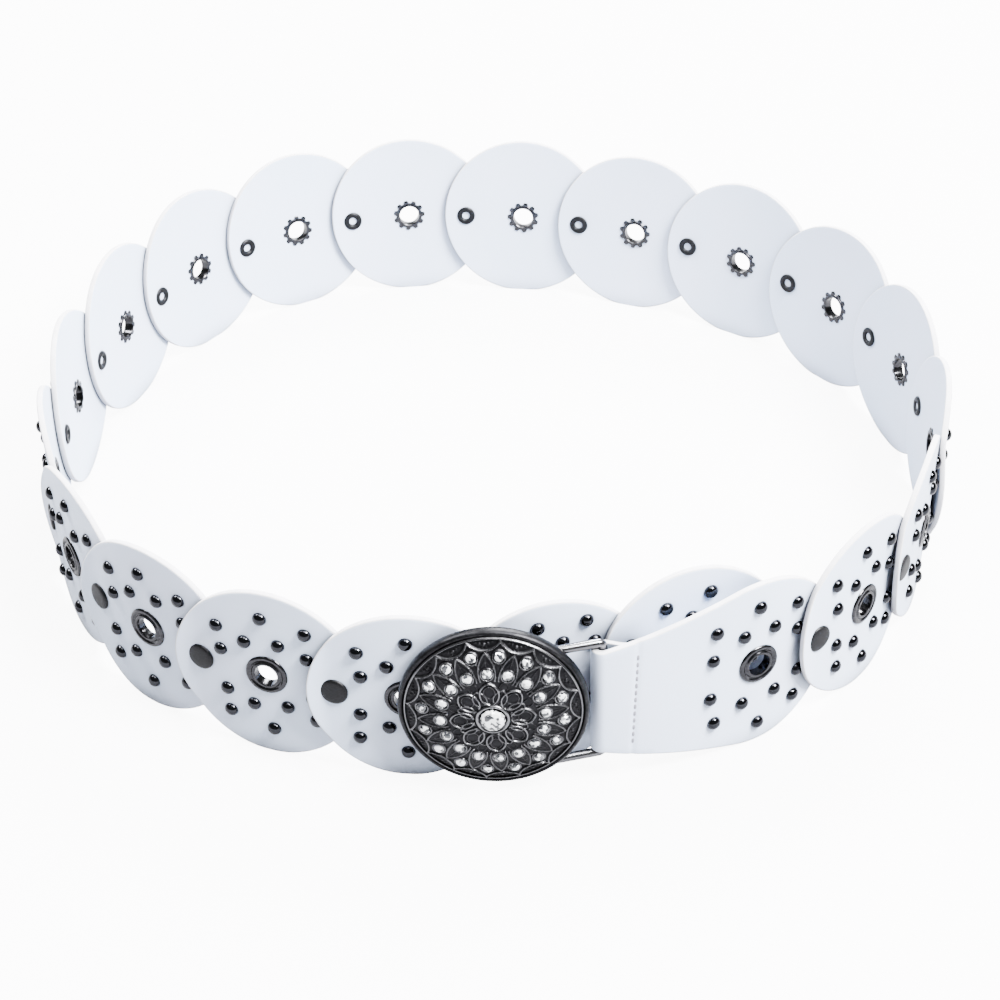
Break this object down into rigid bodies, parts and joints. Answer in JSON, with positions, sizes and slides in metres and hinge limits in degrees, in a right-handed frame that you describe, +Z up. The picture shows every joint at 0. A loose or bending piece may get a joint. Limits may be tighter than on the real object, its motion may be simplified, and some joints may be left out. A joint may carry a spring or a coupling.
{
  "type": "studded leather disc belt with a round jewelled buckle",
  "caption": "Chain belt of round riveted leather discs with set eyelets, a folded strap end and a round cast plate buckle with stones, fastened and standing on its edge.",
  "frame": {"origin": "centre of the belt's footprint box, on the surface that it stands on", "axes": "+Z up from the surface, -Y towards the viewer and out of the buckle's face, +X to the viewer's right"},
  "size_m": [0.302, 0.2894, 0.064],
  "materials": {
    "leather": "white coated leather, satin, with cut edges",
    "rivet_metal": "dark gunmetal, matte caps",
    "buckle_metal": "antique black nickel on cast zinc, bright where worn",
    "stone": "clear faceted rhinestone"
  },
  "bodies": {
    "root": {"tab_strap": "leather", "disc_01": "leather", "disc_02": "leather", "disc_03": "leather", "disc_04": "leather", "disc_05": "leather", "disc_06": "leather", "disc_07": "leather", "disc_08": "leather", "disc_09": "leather", "disc_10": "leather", "disc_11": "leather", "disc_12": "leather", "disc_13": "leather", "disc_14": "leather", "disc_15": "leather", "disc_16": "leather", "disc_17": "leather", "disc_18": "leather", "disc_19": "leather", "disc_20": "leather", "rivet_01": "rivet_metal", "rivet_02": "rivet_metal", "rivet_03": "rivet_metal", "rivet_04": "rivet_metal", "rivet_05": "rivet_metal", "rivet_06": "rivet_metal", "rivet_07": "rivet_metal", "rivet_08": "rivet_metal", "rivet_09": "rivet_metal", "rivet_10": "rivet_metal", "rivet_11": "rivet_metal", "rivet_12": "rivet_metal", "rivet_13": "rivet_metal", "rivet_14": "rivet_metal", "rivet_15": "rivet_metal", "rivet_16": "rivet_metal", "rivet_17": "rivet_metal", "rivet_18": "rivet_metal", "rivet_19": "rivet_metal", "rivet_20": "rivet_metal", "buckle": "buckle_metal", "centre_stone": "stone"}
  },
  "joints": []
}
